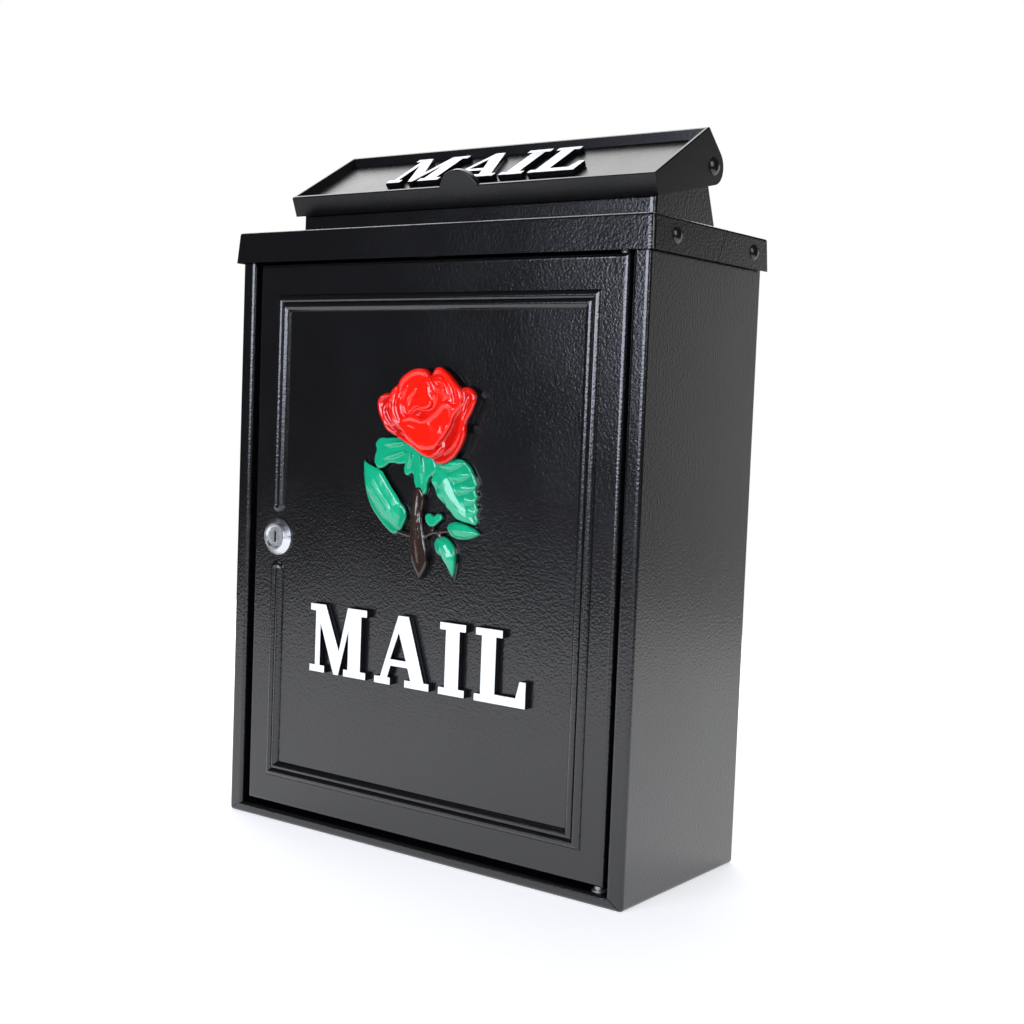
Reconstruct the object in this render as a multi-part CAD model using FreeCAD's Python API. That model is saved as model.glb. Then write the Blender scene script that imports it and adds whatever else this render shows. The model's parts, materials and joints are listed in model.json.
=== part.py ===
import FreeCAD, Part
import math
import os

from FreeCAD import Vector

# Wall mailbox: a folded steel case with a hinged door, a riveted cap, a letter inlet and a tilting lid.
# X runs to the right, Y towards the wall and Z up, in millimetres. Heights are taken from the base and
# depths from the wall. Finished pieces are shifted so that the wall-hole pattern's middle is the origin.

# Case, folded from sheet
CASE_WIDTH = 300.0
CASE_DEPTH = 125.0
CASE_HEIGHT = 368.8          # base to the underside of the cap
SHEET = 1.2
BEND = 2.4                   # outside radius of a fold
SIDE_FLANGE = 10.5
BOTTOM_FLANGE = 7.0
LIP_DEPTH = 11.0             # return lip round the door opening, from the front face
MITRE_WIDTH = 0.5
MITRE_DEPTH = 0.6

# Holes in the back for wall screws
WALL_HOLE_RADIUS = 3.5
WALL_HOLE_ACROSS = 200.0
WALL_HOLE_RISE = 240.0
WALL_HOLE_HEIGHT = 185.0     # middle of the pattern above the base

# Rail over the door
RAIL_DROP = 16.5             # underside of the cap to the rail's underside
RAIL_DEPTH = 14.0

# Cap
CAP_SKIRT = 19.0
CAP_OVERHANG = 2.4           # at the top, in front and at the sides
CAP_FLARE = 1.3              # how much further out the skirt stands at its lower edge
CAP_CORNER = 3.2
CAP_EDGE = 1.8
SEAM_TOP = 78.0              # case front to the seam in the skirt's side, at the cap's top face
SEAM_LOW = 65.0              # the same at the skirt's lower edge
SEAM_WIDTH = 0.5
SEAM_DEPTH = 0.5

# Dome rivets through the cap skirt and the case side
RIVET_HEAD_RADIUS = 5.0
RIVET_DOME = 2.2
RIVET_SINK = 0.5             # how deep the head beds into the sloping skirt
RIVET_SHANK = 2.4
RIVET_TAIL = 3.6
RIVET_TAIL_LENGTH = 2.0
RIVET_FROM_FRONT = 21.7
RIVET_FROM_BACK = 16.1
RIVET_BELOW_CAP_TOP = 9.5

# Inlet neck
NECK_INSET = 19.0            # case side to the neck's cheek
NECK_FRONT = 33.5            # case front to the neck's front wall
NECK_BACK = 23.0             # wall face to the neck's back wall, at the cap's top face
NECK_RAKE = 22.0             # lean of the back wall from upright, in degrees
NECK_BACK_RISE = 46.0        # cap's top face to the back wall's upper edge
NECK_CORNER = 3.0
NECK_FOOT = 8.0              # flange under the cap
NECK_FIT = 0.2               # clearance in the cap's opening

# Tilting lid; its own axes run up the slope and square to it, from the front of the rim
LID_FRONT = 26.3             # case front to the lid's front rim
LID_RISE = 25.0              # cap's top face to the lid's front rim
LID_TILT = 30.7              # degrees
LID_LENGTH = 65.7
LID_CLEARANCE = 1.7          # neck's cheek to the lid's cheek
LID_WALL = 2.0
LID_RECESS = 5.0             # rim to the sunk panel
LID_BEVEL = 2.6              # slope of the rim's inner walls
LID_LIP = 12.2
LID_LIP_RAKE = 2.1           # how far the lip's lower edge stands forward
LID_REST = 0.4               # panel's underside to the neck's front wall
LID_EDGE = 0.7
TAB_WIDTH = 28.4
TAB_HEIGHT = 9.6
TAB_DEPTH = 4.2

# Lid pivots
PIVOT_ALONG = 61.9
PIVOT_BELOW = 21.9
PIVOT_RADIUS = 2.5
PIVOT_CLEARANCE = 0.05
PIVOT_GAP = 0.15             # head to the lid's cheek
PIVOT_HEAD_RADIUS = 5.2
PIVOT_DOME = 2.4
PIVOT_TAIL = 3.3             # clears the neck's leaning back wall
PIVOT_TAIL_LENGTH = 1.8
SPACER_RADIUS = 4.8
SPACER_GAP = 0.2
LID_EAR = 10.5
NECK_EAR = 7.5

# Door, a pressed tray
DOOR_SHEET = 1.2
DOOR_SETBACK = 1.5           # case front to the door's face
DOOR_DEPTH = 10.0
DOOR_EDGE = 3.0
DOOR_GAP_LOCK = 6.0
DOOR_GAP_HINGE = 3.7
DOOR_GAP_BOTTOM = 4.8
DOOR_GAP_TOP = 3.8

# Double-bead moulding pressed into the door
MOULD_INSET_SIDE = 14.6
MOULD_INSET_BOTTOM = 16.2
MOULD_INSET_TOP = 17.4
MOULD_WIDTH = 10.4
MOULD_HEIGHT = 2.6
MOULD_GROOVE = 1.5
MOULD_BREAK = 15.0           # lock centre to the moulding's rounded ends
MOULD_ROOT = 0.3             # how deep the bead is rooted in the panel

# Hinge pins
HINGE_INSET = 4.5            # door's edge to the pin
HINGE_BEHIND = 5.0           # door's face to the pin
HINGE_SPIGOT = 2.0
HINGE_CLEARANCE = 0.05
HINGE_COLLAR = 2.6
HINGE_STUD = 1.4
HINGE_HEAD = 2.0             # clears the round of the door's folded edge
HINGE_HEAD_LENGTH = 1.4
HINGE_REACH = 3.0            # spigot beyond the sheet that carries it
WASHER_RADIUS = 4.0
WASHER_THICKNESS = 0.8
WASHER_GAP = 0.3             # upper collar to the rail

# Cam lock on the moulding's left run
LOCK_HEIGHT = 180.5          # above the base
LOCK_BEZEL_RADIUS = 11.5
LOCK_BEZEL_RISE = 4.4
LOCK_BEZEL_TOP = 8.3
LOCK_BEZEL_RIM = 1.0         # straight edge of the bezel, next to the door
LOCK_FACE_SINK = 1.3         # bezel top to the plug's face
LOCK_BARREL_RADIUS = 8.8
LOCK_HOLE_FIT = 0.2
LOCK_BARREL_LENGTH = 11.6    # door's face to the barrel's end
LOCK_PLUG_RADIUS = 6.0
LOCK_PLUG_FIT = 0.05
KEYWAY_WIDTH = 1.7
KEYWAY_HEIGHT = 7.0
KEYWAY_DEPTH = 6.0
NUT_ACROSS_FLATS = 21.0
NUT_THICKNESS = 3.5
CAM_THICKNESS = 2.0
CAM_WIDTH = 14.0
CAM_LENGTH = 29.0            # lock centre to the cam's tip
CAM_GAP = 0.1                # barrel's end to the cam
DRIVE_SQUARE = 6.0
CAM_WASHER_RADIUS = 5.0
CAM_WASHER_THICKNESS = 0.8
SCREW_HEAD_RADIUS = 3.6
SCREW_HEAD_HEIGHT = 2.4
SCREW_RADIUS = 1.6
SCREW_LENGTH = 7.0

# Rose, cast in one piece and fixed to the door; its drawing's zero is on the case's middle line
ROSE_ZERO = 160.0            # base to the drawing's zero
ROSE_UNIT = 1.0              # one step of the drawing
PETAL_STEP = 1.1             # how far a petal's rim stands above the petal outside it
PETAL_DIP = 1.0              # how far a petal falls from its rim to its root
BLOOM_HEIGHT = 8.4           # rim of the outermost petals
LEAF_EDGE = 3.2              # height of a leaf at its border
LEAF_RIDGE = 5.2             # height of a leaf along its midrib
STEM_HEIGHT = 5.4
TWIG_HEIGHT = 3.6

HALF_WIDTH = CASE_WIDTH / 2
FRONT = -CASE_DEPTH
OPENING_HALF = HALF_WIDTH - SIDE_FLANGE
CAP_TOP = CASE_HEIGHT + SHEET
RAIL_BOTTOM = CASE_HEIGHT - RAIL_DROP
NECK_HALF = HALF_WIDTH - NECK_INSET
LID_HALF = NECK_HALF + LID_CLEARANCE + LID_WALL
DOOR_LEFT = -OPENING_HALF + DOOR_GAP_LOCK
DOOR_RIGHT = OPENING_HALF - DOOR_GAP_HINGE
DOOR_BOTTOM = BOTTOM_FLANGE + DOOR_GAP_BOTTOM
DOOR_TOP = RAIL_BOTTOM - DOOR_GAP_TOP
DOOR_FACE = FRONT + DOOR_SETBACK
HINGE_X = DOOR_RIGHT - HINGE_INSET
HINGE_Y = DOOR_FACE + HINGE_BEHIND
LOCK_X = DOOR_LEFT + MOULD_INSET_SIDE + MOULD_WIDTH / 2
PLUG_FACE = DOOR_FACE - LOCK_BEZEL_RISE + LOCK_FACE_SINK
CAM_FRONT = DOOR_FACE + LOCK_BARREL_LENGTH + CAM_GAP
CAM_BACK = CAM_FRONT + CAM_THICKNESS
OVERRUN = 5.0                # how far cutting bodies run past what they cut

X_AXIS = Vector(1, 0, 0)
Y_AXIS = Vector(0, 1, 0)
Z_AXIS = Vector(0, 0, 1)


def box(x0, x1, y0, y1, z0, z1):
    return Part.makeBox(x1 - x0, y1 - y0, z1 - z0, Vector(x0, y0, z0))


def rod(radius, start, end):
    return Part.makeCylinder(radius, (end - start).Length, start, end - start)


def tube(outer, inner, start, end):
    return rod(outer, start, end).cut(rod(inner, start, end))


def side_prism(outline, x0, x1):
    """Solid with an outline given as (y, z) points, running from x0 to x1."""
    corners = [Vector(x0, y, z) for y, z in outline]
    return Part.Face(Part.makePolygon(corners + corners[:1])).extrude(X_AXIS * (x1 - x0))


def front_prism(outline, y0, y1):
    """Solid with an outline given as (x, z) points, running from y0 to y1."""
    corners = [Vector(x, y0, z) for x, z in outline]
    return Part.Face(Part.makePolygon(corners + corners[:1])).extrude(Y_AXIS * (y1 - y0))


def rectangle(x0, x1, y0, y1, z):
    return [Vector(x0, y0, z), Vector(x1, y0, z), Vector(x1, y1, z), Vector(x0, y1, z)]


def frustum(low, high):
    """Solid between two rectangles, with flat sides."""
    rings = [low[::-1], high] + [[low[i - 1], low[i], high[i], high[i - 1]] for i in range(4)]
    faces = [Part.Face(Part.makePolygon(ring + ring[:1])) for ring in rings]
    return Part.makeSolid(Part.makeShell(faces))


def turned(outline, centre, axis):
    """Solid of revolution from (radius, distance along the axis) points."""
    across = Z_AXIS if abs(axis.z) < 0.5 else X_AXIS
    corners = [centre + across * r + axis * d for r, d in outline]
    return Part.Face(Part.makePolygon(corners + corners[:1])).revolve(centre, axis, 360)


def dome(radius, height, centre, axis):
    """Shallow cap of a ball, flat side at the centre."""
    ball = (radius ** 2 + height ** 2) / (2 * height)
    cap = Part.makeSphere(ball, centre + axis * (height - ball))
    return cap.common(rod(radius + OVERRUN, centre, centre + axis * (height + OVERRUN)))


def rounded(shape, radius, wanted):
    """Round the edges whose middle point passes a test."""
    edges = [edge for edge in shape.Edges if wanted(edge.CenterOfMass, edge)]
    return shape.makeFillet(radius, edges)


def upright(edge):
    return abs(edge.Vertexes[0].Z - edge.Vertexes[-1].Z) > edge.Length / 2


def near(value, target):
    return abs(value - target) < 1e-4


def fused(shapes):
    return shapes[0].multiFuse(shapes[1:]).removeSplitter()


def folded_box(inset):
    """Case block with rounded upright and bottom folds, shrunk by an inset."""
    block = box(-HALF_WIDTH + inset, HALF_WIDTH - inset, FRONT + inset, -inset, inset, CASE_HEIGHT + inset)
    return rounded(block, BEND - inset, lambda m, e: upright(e) or near(m.z, inset))


def mitre_slit(side):
    """Thin groove across a bottom front corner, from the corner to the door opening."""
    length = math.hypot(SIDE_FLANGE, BOTTOM_FLANGE)
    lean = math.degrees(math.atan2(BOTTOM_FLANGE, SIDE_FLANGE))
    slit = box(-OVERRUN, length, FRONT, FRONT + MITRE_DEPTH, -MITRE_WIDTH / 2, MITRE_WIDTH / 2)
    slit.rotate(Vector(0, 0, 0), Y_AXIS, -lean)
    slit.translate(Vector(-HALF_WIDTH, 0, 0))
    return slit if side < 0 else slit.mirror(Vector(0, 0, 0), X_AXIS)


def rivet_spots():
    """Rivet places as (side, y), two on each side of the cap."""
    return [(side, y) for side in (-1, 1) for y in (FRONT + RIVET_FROM_FRONT, -RIVET_FROM_BACK)]


def body_shell():
    shell = folded_box(0).cut(folded_box(SHEET))
    lip_back = FRONT + LIP_DEPTH
    lip_low = BOTTOM_FLANGE - SHEET
    outer_lip = box(-OPENING_HALF - SHEET, OPENING_HALF + SHEET, FRONT, lip_back, lip_low, CASE_HEIGHT)
    opening = box(-OPENING_HALF, OPENING_HALF, FRONT - OVERRUN, lip_back + OVERRUN,
                  BOTTOM_FLANGE, CASE_HEIGHT + OVERRUN)
    shell = fused([shell, outer_lip]).cut(opening)
    shell = rounded(shell, BEND, lambda m, e: near(m.y, FRONT) and (
        near(abs(m.x), OPENING_HALF) or near(m.z, BOTTOM_FLANGE)))
    shell = rounded(shell, BEND - SHEET, lambda m, e: near(m.y, FRONT + SHEET) and (
        near(abs(m.x), OPENING_HALF + SHEET) or near(m.z, lip_low)))
    cuts = [mitre_slit(-1), mitre_slit(1)]
    for x in (-WALL_HOLE_ACROSS / 2, WALL_HOLE_ACROSS / 2):
        for z in (-WALL_HOLE_RISE / 2, WALL_HOLE_RISE / 2):
            low = Vector(x, -SHEET - OVERRUN, WALL_HOLE_HEIGHT + z)
            cuts.append(rod(WALL_HOLE_RADIUS, low, low + Y_AXIS * (SHEET + 2 * OVERRUN)))
    for side, y in rivet_spots():
        start = Vector(side * (HALF_WIDTH - OVERRUN), y, CAP_TOP - RIVET_BELOW_CAP_TOP)
        cuts.append(rod(RIVET_SHANK, start, start + X_AXIS * side * 2 * OVERRUN))
    pin = Vector(HINGE_X, HINGE_Y, lip_low - SHEET)
    cuts.append(rod(HINGE_SPIGOT + HINGE_CLEARANCE, pin, pin + Z_AXIS * 3 * SHEET))
    return shell.cut(cuts)


def top_rail():
    """Angle across the top of the door opening, with the upper hinge hole."""
    rail = side_prism([(FRONT, RAIL_BOTTOM), (FRONT + RAIL_DEPTH, RAIL_BOTTOM),
                       (FRONT + RAIL_DEPTH, RAIL_BOTTOM + SHEET), (FRONT + SHEET, RAIL_BOTTOM + SHEET),
                       (FRONT + SHEET, CASE_HEIGHT), (FRONT, CASE_HEIGHT)], -OPENING_HALF, OPENING_HALF)
    rail = rounded(rail, BEND, lambda m, e: near(m.y, FRONT) and near(m.z, RAIL_BOTTOM))
    rail = rounded(rail, BEND - SHEET, lambda m, e: near(m.y, FRONT + SHEET) and near(m.z, RAIL_BOTTOM + SHEET))
    pin = Vector(HINGE_X, HINGE_Y, RAIL_BOTTOM - SHEET)
    return rail.cut(rod(HINGE_SPIGOT + HINGE_CLEARANCE, pin, pin + Z_AXIS * 3 * SHEET))


def cap_block(inset, back):
    """Flared block of the cap, shrunk by an inset and running back to a given depth."""
    side = HALF_WIDTH + CAP_OVERHANG - inset
    front = FRONT - CAP_OVERHANG + inset
    low = rectangle(-side - CAP_FLARE, side + CAP_FLARE, front - CAP_FLARE, back, CAP_TOP - CAP_SKIRT)
    high = rectangle(-side, side, front, back, CAP_TOP - inset)
    block = rounded(frustum(low, high), CAP_CORNER - inset, lambda m, e: upright(e) and m.y < FRONT / 2)
    return rounded(block, CAP_EDGE - inset, lambda m, e: near(m.z, CAP_TOP - inset) and m.y < back - SHEET)


def neck_back_line(height):
    """Depth of the neck's back wall, outside, at a height."""
    return -NECK_BACK - (height - CAP_TOP) * math.tan(math.radians(NECK_RAKE))


def cap_seam(side):
    """Slanting butt joint of the skirt's two bent flaps, on one side of the cap."""
    low = CAP_TOP - CAP_SKIRT
    half = SEAM_WIDTH / 2
    strip = [(FRONT + SEAM_TOP - half, CAP_TOP), (FRONT + SEAM_TOP + half, CAP_TOP),
             (FRONT + SEAM_LOW + half, low), (FRONT + SEAM_LOW - half, low)]
    seam = side_prism(strip, side * HALF_WIDTH, side * (HALF_WIDTH + CAP_OVERHANG + OVERRUN))
    return seam.cut(cap_block(SEAM_DEPTH, OVERRUN))


def top_cap():
    cap = cap_block(0, 0).cut(cap_block(SHEET, OVERRUN))
    opening = box(-NECK_HALF - NECK_FIT, NECK_HALF + NECK_FIT, FRONT + NECK_FRONT - NECK_FIT,
                  neck_back_line(CASE_HEIGHT) + NECK_FIT, CASE_HEIGHT - OVERRUN, CAP_TOP + OVERRUN)
    opening = rounded(opening, NECK_CORNER, lambda m, e: upright(e) and near(m.y, FRONT + NECK_FRONT - NECK_FIT))
    rivets = [cap_rivet(side, y) for side, y in rivet_spots()]
    return cap.cut([opening] + rivets + [cap_seam(side) for side in (-1, 1)])


def cap_rivet(side, y):
    """Dome-head blind rivet through the cap skirt and the case side."""
    out = X_AXIS * side
    height = CAP_TOP - RIVET_BELOW_CAP_TOP
    skirt = HALF_WIDTH + CAP_OVERHANG + CAP_FLARE * RIVET_BELOW_CAP_TOP / CAP_SKIRT
    seat = Vector(side * (skirt - RIVET_SINK), y, height)
    wall = Vector(side * (HALF_WIDTH - SHEET), y, height)
    head = dome(RIVET_HEAD_RADIUS, RIVET_DOME + RIVET_SINK, seat, out)
    return fused([head, rod(RIVET_SHANK, wall, seat), rod(RIVET_TAIL, wall - out * RIVET_TAIL_LENGTH, wall)])


def cap_rivets():
    return Part.makeCompound([cap_rivet(side, y) for side, y in rivet_spots()])


def on_slope(along, above):
    """Depth and height of a point given in the lid's own axes."""
    tilt = math.radians(LID_TILT)
    y = FRONT + LID_FRONT + along * math.cos(tilt) - above * math.sin(tilt)
    z = CAP_TOP + LID_RISE + along * math.sin(tilt) + above * math.cos(tilt)
    return y, z


def pivot_point(x):
    y, z = on_slope(PIVOT_ALONG, -PIVOT_BELOW)
    return Vector(x, y, z)


def neck_front_top():
    """Height of the neck's front wall, just under the closed lid's panel."""
    below = LID_RECESS + LID_WALL + LID_REST
    y, z = on_slope(0, -below)
    return z + (FRONT + NECK_FRONT - y) * math.tan(math.radians(LID_TILT))


def inlet_neck():
    base = CASE_HEIGHT - SHEET
    front = FRONT + NECK_FRONT
    wall_top = CAP_TOP + NECK_BACK_RISE
    outline = [(front, base), (front, neck_front_top()), (neck_back_line(wall_top), wall_top),
               (neck_back_line(base), base)]
    neck = side_prism(outline, -NECK_HALF, NECK_HALF)
    neck = rounded(neck, NECK_CORNER, lambda m, e: upright(e) and near(m.y, front))
    wall_shift = SHEET / math.cos(math.radians(NECK_RAKE))
    hollow = [(front + SHEET, base - OVERRUN), (front + SHEET, wall_top + OVERRUN),
              (neck_back_line(wall_top + OVERRUN) - wall_shift, wall_top + OVERRUN),
              (neck_back_line(base - OVERRUN) - wall_shift, base - OVERRUN)]
    hollow = side_prism(hollow, -NECK_HALF + SHEET, NECK_HALF - SHEET)
    hollow = rounded(hollow, NECK_CORNER - SHEET, lambda m, e: upright(e) and near(m.y, front + SHEET))
    foot = box(-NECK_HALF - NECK_FOOT, NECK_HALF + NECK_FOOT, front - NECK_FOOT,
               neck_back_line(base) + NECK_FOOT, base, CASE_HEIGHT)
    ears = [rod(NECK_EAR, pivot_point(side * (NECK_HALF - SHEET)), pivot_point(side * NECK_HALF))
            for side in (-1, 1)]
    holes = [rod(PIVOT_RADIUS, pivot_point(side * (NECK_HALF - OVERRUN)), pivot_point(side * (NECK_HALF + OVERRUN)))
             for side in (-1, 1)]
    return fused([neck.cut(hollow), foot.cut(hollow)] + ears).cut(holes)


def tangent(point, centre, radius, turn):
    """Point where a line from a point touches a circle, on one side of it."""
    away = (point - centre).Length
    angle = math.atan2(point.z - centre.z, point.y - centre.y) + turn * math.acos(radius / away)
    return centre + Vector(0, radius * math.cos(angle), radius * math.sin(angle))


def lid_cheek_face(x):
    """Side outline of the lid in its own axes: lip, rim, and the ear round the pivot."""
    lip = Vector(x, -LID_LIP_RAKE, -LID_LIP)
    rim_front = Vector(x, 0, 0)
    rim_back = Vector(x, LID_LENGTH, 0)
    pivot = Vector(x, PIVOT_ALONG, -PIVOT_BELOW)
    ear_back = tangent(rim_back, pivot, LID_EAR, -1)
    ear_front = tangent(lip, pivot, LID_EAR, 1)
    low = pivot + (ear_back + ear_front - pivot * 2).normalize() * LID_EAR
    edges = [Part.LineSegment(lip, rim_front), Part.LineSegment(rim_front, rim_back),
             Part.LineSegment(rim_back, ear_back), Part.Arc(ear_back, low, ear_front),
             Part.LineSegment(ear_front, lip)]
    return Part.Face(Part.Wire([edge.toShape() for edge in edges]))


def thumb_tab():
    """Rounded finger grip standing on the middle of the lid's front rim."""
    ball = (TAB_WIDTH ** 2 / 4 + TAB_HEIGHT ** 2) / (2 * TAB_HEIGHT)
    lean = math.degrees(math.atan2(LID_LIP_RAKE, LID_LIP))
    disc = Part.makeCylinder(ball, TAB_DEPTH, Vector(0, 0, TAB_HEIGHT - ball), Y_AXIS)
    keep = box(-TAB_WIDTH, TAB_WIDTH, 0, TAB_DEPTH, -LID_RECESS, TAB_HEIGHT + OVERRUN)
    tab = rounded(disc.common(keep), LID_EDGE, lambda m, e: m.z > 0)
    tab.rotate(Vector(0, 0, 0), X_AXIS, -lean)
    return tab


def flap_lid():
    block = lid_cheek_face(-LID_HALF).extrude(X_AXIS * 2 * LID_HALF)
    block = rounded(block, LID_EDGE, lambda m, e: near(m.z, 0))
    inner = LID_HALF - LID_WALL
    under = -LID_RECESS - LID_WALL
    lip_inside = LID_WALL - LID_LIP_RAKE * -under / LID_LIP
    reach = LID_LENGTH + LID_EAR + OVERRUN
    deep = PIVOT_BELOW + LID_EAR + OVERRUN
    lip_drop = lip_inside - LID_LIP_RAKE / LID_LIP * (deep + under)
    hollow = side_prism([(lip_inside, under), (reach, under), (reach, -deep), (lip_drop, -deep)], -inner, inner)
    sunk = LID_WALL + LID_BEVEL
    pocket = frustum(rectangle(-LID_HALF + sunk, LID_HALF - sunk, sunk, LID_LENGTH - sunk, -LID_RECESS),
                     rectangle(-inner, inner, LID_WALL, LID_LENGTH - LID_WALL, 0))
    holes = [rod(PIVOT_RADIUS + PIVOT_CLEARANCE, Vector(side * (inner - OVERRUN), PIVOT_ALONG, -PIVOT_BELOW),
                 Vector(side * (LID_HALF + OVERRUN), PIVOT_ALONG, -PIVOT_BELOW)) for side in (-1, 1)]
    lid = fused([block.cut([hollow, pocket] + holes), thumb_tab()])
    lid.rotate(Vector(0, 0, 0), X_AXIS, LID_TILT)
    y, z = on_slope(0, 0)
    lid.translate(Vector(0, y, z))
    return lid


def flap_pivot(side):
    """Dome-head pivot from the lid's cheek through the spacer to the inside of the neck."""
    out = X_AXIS * side
    seat = pivot_point(side * (LID_HALF + PIVOT_GAP))
    wall = pivot_point(side * (NECK_HALF - SHEET))
    return fused([dome(PIVOT_HEAD_RADIUS, PIVOT_DOME, seat, out), rod(PIVOT_RADIUS, wall, seat),
                  rod(PIVOT_TAIL, wall - out * PIVOT_TAIL_LENGTH, wall)])


def flap_pivots():
    return Part.makeCompound([flap_pivot(side) for side in (-1, 1)])


def pivot_spacers():
    rings = [tube(SPACER_RADIUS, PIVOT_RADIUS, pivot_point(side * NECK_HALF),
                  pivot_point(side * (NECK_HALF + LID_CLEARANCE - SPACER_GAP))) for side in (-1, 1)]
    return Part.makeCompound(rings)


def bead_face(start, inward, first, last):
    """Section of the double bead, from one share of its width to another."""
    def spot(share, height):
        return start + inward * (share * MOULD_WIDTH) - Y_AXIS * height

    crest = MOULD_HEIGHT
    valley = MOULD_HEIGHT - MOULD_GROOVE
    outer = [(0, 0), (0.1, 0.62 * crest), (0.28, crest), (0.42, 0.83 * crest), (0.5, valley)]
    inner = [(1 - share, height) for share, height in reversed(outer)]
    halves = {0: outer, 0.5: inner}
    edges = []
    for half in [halves[share] for share in (0, 0.5) if first <= share < last]:
        edges.append(Part.Arc(spot(*half[0]), spot(*half[1]), spot(*half[2])).toShape())
        edges.append(Part.Arc(spot(*half[2]), spot(*half[3]), spot(*half[4])).toShape())
    low = [edges[-1].Vertexes[-1].Point, spot(last, -MOULD_ROOT), spot(first, -MOULD_ROOT),
           edges[0].Vertexes[0].Point]
    edges += [Part.makeLine(a, b) for a, b in zip(low, low[1:])]
    return Part.Face(Part.Wire(edges))


def bead_run(start, end, inward):
    """One straight side of the moulding, mitred at both ends."""
    along = (end - start).normalize()
    length = (end - start).Length
    run = bead_face(start, inward, 0, 1).extrude(along * length)
    corners = [start, end, end + (inward - along) * MOULD_WIDTH, start + (inward + along) * MOULD_WIDTH]
    corners = [corner - Y_AXIS * (MOULD_HEIGHT + OVERRUN) for corner in corners]
    mitred = Part.Face(Part.makePolygon(corners + corners[:1])).extrude(Y_AXIS * (MOULD_HEIGHT + 2 * OVERRUN))
    return run.common(mitred)


def moulding():
    """Frame of double beading, broken at the lock with rounded ends."""
    left = DOOR_LEFT + MOULD_INSET_SIDE
    right = DOOR_RIGHT - MOULD_INSET_SIDE
    bottom = DOOR_BOTTOM + MOULD_INSET_BOTTOM
    top = DOOR_TOP - MOULD_INSET_TOP
    corners = [Vector(x, DOOR_FACE, z) for x, z in ((left, bottom), (right, bottom), (right, top), (left, top))]
    inwards = [Z_AXIS, X_AXIS * -1, Z_AXIS * -1, X_AXIS]
    runs = [bead_run(corners[i], corners[(i + 1) % 4], inwards[i]) for i in range(4)]
    reach = MOULD_BREAK + MOULD_WIDTH / 2
    gap = box(left - OVERRUN, left + MOULD_WIDTH + OVERRUN, DOOR_FACE - MOULD_HEIGHT - OVERRUN,
              DOOR_FACE + OVERRUN, LOCK_HEIGHT - reach, LOCK_HEIGHT + reach)
    runs[3] = runs[3].cut(gap)
    ends = []
    for up in (-1, 1):
        centre = Vector(LOCK_X, DOOR_FACE, LOCK_HEIGHT + up * reach)
        half = bead_face(centre - X_AXIS * (MOULD_WIDTH / 2), X_AXIS, 0.5, 1)
        ends.append(half.revolve(centre, Y_AXIS, up * 180))
    return fused(runs + ends)


def door_panel():
    tray = rounded(box(DOOR_LEFT, DOOR_RIGHT, DOOR_FACE, DOOR_FACE + DOOR_DEPTH, DOOR_BOTTOM, DOOR_TOP),
                   DOOR_EDGE, lambda m, e: near(m.y, DOOR_FACE))
    hollow = box(DOOR_LEFT + DOOR_SHEET, DOOR_RIGHT - DOOR_SHEET, DOOR_FACE + DOOR_SHEET,
                 DOOR_FACE + DOOR_DEPTH + OVERRUN, DOOR_BOTTOM + DOOR_SHEET, DOOR_TOP - DOOR_SHEET)
    hollow = rounded(hollow, DOOR_EDGE - DOOR_SHEET, lambda m, e: near(m.y, DOOR_FACE + DOOR_SHEET))
    bead = moulding()
    dent = bead.copy()
    dent.translate(Y_AXIS * DOOR_SHEET)
    lock_hole = rod(LOCK_BARREL_RADIUS + LOCK_HOLE_FIT, Vector(LOCK_X, DOOR_FACE - OVERRUN, LOCK_HEIGHT),
                    Vector(LOCK_X, DOOR_FACE + DOOR_DEPTH, LOCK_HEIGHT))
    studs = rod(HINGE_STUD, Vector(HINGE_X, HINGE_Y, DOOR_BOTTOM - OVERRUN),
                Vector(HINGE_X, HINGE_Y, DOOR_TOP + OVERRUN))
    return fused([tray, bead]).cut([hollow, dent, lock_hole, studs])


def hinge_pin(door_edge, seat, carrier, up):
    """Shouldered pin riveted into the door's folded edge, running in a hole in the case."""
    def at(height):
        return Vector(HINGE_X, HINGE_Y, height)

    inside = door_edge - up * DOOR_SHEET
    return fused([rod(HINGE_HEAD, at(inside), at(inside - up * HINGE_HEAD_LENGTH)),
                  rod(HINGE_STUD, at(inside), at(door_edge)),
                  rod(HINGE_COLLAR, at(door_edge), at(seat)),
                  rod(HINGE_SPIGOT, at(seat), at(carrier + up * HINGE_REACH))])


def hinge_pin_upper():
    return hinge_pin(DOOR_TOP, RAIL_BOTTOM - WASHER_GAP, RAIL_BOTTOM + SHEET, 1)


def hinge_pin_lower():
    return hinge_pin(DOOR_BOTTOM, BOTTOM_FLANGE + WASHER_THICKNESS, BOTTOM_FLANGE - SHEET, -1)


def hinge_washer():
    start = Vector(HINGE_X, HINGE_Y, BOTTOM_FLANGE)
    return tube(WASHER_RADIUS, HINGE_SPIGOT + HINGE_CLEARANCE, start, start + Z_AXIS * WASHER_THICKNESS)


def lock_point(y):
    return Vector(LOCK_X, y, LOCK_HEIGHT)


def lock_body():
    """Conical bezel and barrel, bored for the plug."""
    bore = LOCK_PLUG_RADIUS + LOCK_PLUG_FIT
    top = -LOCK_BEZEL_RISE
    outline = [(bore, top + LOCK_FACE_SINK), (LOCK_BEZEL_TOP - LOCK_FACE_SINK, top), (LOCK_BEZEL_TOP, top),
               (LOCK_BEZEL_RADIUS, -LOCK_BEZEL_RIM), (LOCK_BEZEL_RADIUS, 0), (LOCK_BARREL_RADIUS, 0),
               (LOCK_BARREL_RADIUS, LOCK_BARREL_LENGTH), (bore, LOCK_BARREL_LENGTH)]
    return turned(outline, lock_point(DOOR_FACE), Y_AXIS)


def drive_block(half, start, end):
    return box(LOCK_X - half, LOCK_X + half, start, end, LOCK_HEIGHT - half, LOCK_HEIGHT + half)


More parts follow.
